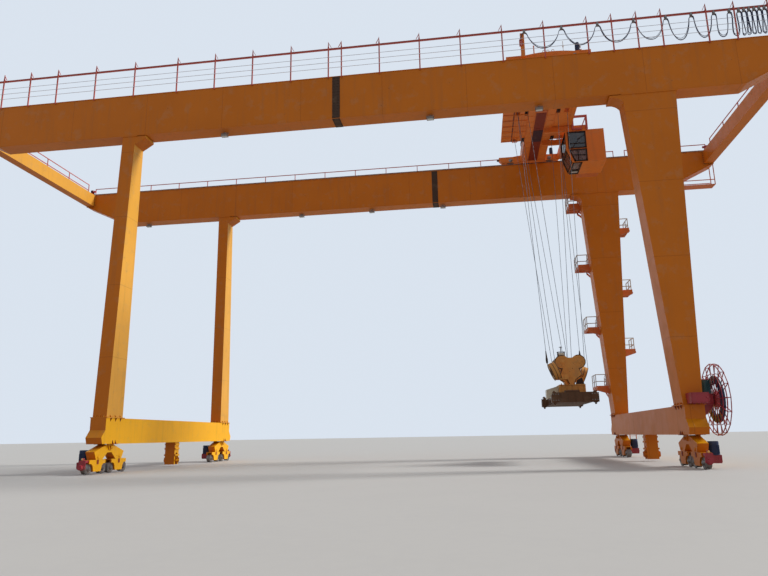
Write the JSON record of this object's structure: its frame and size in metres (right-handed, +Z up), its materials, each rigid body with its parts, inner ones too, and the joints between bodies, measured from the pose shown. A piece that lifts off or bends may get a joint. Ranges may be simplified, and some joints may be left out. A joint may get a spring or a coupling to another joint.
{
  "type": "rail-mounted container gantry crane, 1:2 scale model",
  "caption": "Double-girder gantry crane on rails with a travelling trolley, operator's cab, rope hoist and a telescopic container spreader, as a half-size model.",
  "frame": {"origin": "on the ground under the middle of the girders' length and of the bridge's width", "axes": "+X along the girders towards the stiff legs, +Y across the girders away from the festoon side, +Z up"},
  "size_m": [25.3, 10.05, 12.23],
  "materials": {
    "structure_yellow": "satin paint",
    "trolley_orange": "satin paint",
    "gear_red": "gloss paint",
    "wheel_steel": "worn steel",
    "rail_steel": "worn steel",
    "fence_red": "satin paint",
    "cable_dark": "matt",
    "landing_red": "satin paint",
    "guard_pale": "satin paint",
    "cab_glass": "clear",
    "rope_steel": "greased",
    "head_ochre": "satin paint",
    "spreader_brown": "worn paint",
    "splice_dark": "matt paint",
    "drive_teal": "gloss paint",
    "lamp_grey": "satin paint"
  },
  "bodies": {
    "gantry": {"anchor_posts": "structure_yellow", "bogie_frames": "structure_yellow", "cable_track": "fence_red", "crane_rails": "rail_steel", "end_platform": "landing_red", "equalisers": "structure_yellow", "far_girder": "structure_yellow", "far_handrail": "fence_red", "far_left_leg": "structure_yellow", "far_right_leg": "structure_yellow", "festoon_bunch": "cable_dark", "festoon_cable": "cable_dark", "festoon_carriers": "lamp_grey", "girder_floodlights": "lamp_grey", "girder_splices": "splice_dark", "left_sill_beam": "structure_yellow", "near_fence": "fence_red", "near_girder": "structure_yellow", "near_left_leg": "structure_yellow", "near_right_leg": "structure_yellow", "reel_box": "gear_red", "reel_drive": "drive_teal", "right_sill_beam": "structure_yellow", "stair_flights": "landing_red", "stair_guards": "guard_pale", "stair_landings": "landing_red", "tie_beams": "structure_yellow", "tie_handrails": "fence_red", "travel_buffers": "gear_red", "travel_drives": "gear_red", "travel_motors": "drive_teal", "travel_wheels": "wheel_steel"},
    "reel": {"cable_reel": "gear_red", "wound_cable": "cable_dark"},
    "trolley": {"trolley_frame": "trolley_orange", "trolley_wheels": "wheel_steel", "trolley_deck": "trolley_orange", "hoist_drums": "rail_steel", "drum_pedestals": "trolley_orange", "hoist_drives": "drive_teal", "rope_guides": "trolley_orange", "carriage_covers": "trolley_orange", "tow_arm": "trolley_orange", "cab_body": "trolley_orange", "cab_glass": "cab_glass", "cab_hanger": "trolley_orange", "cab_bracket": "fence_red"},
    "hoist": {"hoist_ropes": "rope_steel", "head_block": "head_ochre", "rope_sheaves": "wheel_steel", "side_blocks": "head_ochre", "spreader_frame": "spreader_brown"},
    "spreader_near": {"spreader_end_near": "spreader_brown", "spreader_arms_near": "spreader_brown"},
    "spreader_far": {"spreader_end_far": "spreader_brown", "spreader_arms_far": "spreader_brown"}
  },
  "joints": [
    {"name": "trolley_travel", "type": "slide", "parent": "gantry", "child": "trolley", "axis": [1, 0, 0], "range_m": [-16.4, 3.7]},
    {"name": "hoist_lift", "type": "slide", "parent": "trolley", "child": "hoist", "axis": [0, 0, 1], "range_m": [-1.6, 5], "deforming": ["hoist_ropes"]},
    {"name": "reel_spin", "type": "hinge", "parent": "gantry", "child": "reel", "pos_m": [9.105, -4, 1.57], "axis": [1, 0, 0], "continuous": true},
    {"name": "spreader_near_extend", "type": "slide", "parent": "hoist", "child": "spreader_near", "axis": [0, -1, 0], "range_m": [0, 1.533]},
    {"name": "spreader_far_extend", "type": "slide", "parent": "hoist", "child": "spreader_far", "axis": [0, 1, 0], "range_m": [0, 1.533]}
  ],
  "couplings": [
    {"joint": "spreader_far_extend", "follows": "spreader_near_extend", "ratio": 1}
  ]
}
